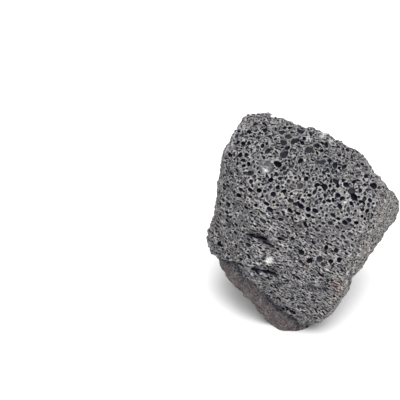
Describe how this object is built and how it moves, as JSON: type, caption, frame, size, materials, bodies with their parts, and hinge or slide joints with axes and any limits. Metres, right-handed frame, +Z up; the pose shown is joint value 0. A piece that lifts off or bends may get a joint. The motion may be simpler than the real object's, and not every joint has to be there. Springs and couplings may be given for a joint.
{
  "type": "lava rock",
  "caption": "Loose piece of dark grey vesicular lava with a broad blistered front, blunt broken edges, a fine-grained flank and a flat patch to stand on.",
  "frame": {"origin": "on the ground under the middle of the stone's plan", "axes": "+Z up from the flat patch it stands on, -Y out of the broad blistered front, +X towards the fine-grained flank with the knob"},
  "size_m": [0.118, 0.107, 0.1185],
  "materials": {
    "vesicular_basalt": "matte, rough, full of open gas bubbles"
  },
  "bodies": {
    "root": {"lava_rock": "vesicular_basalt"}
  },
  "joints": []
}
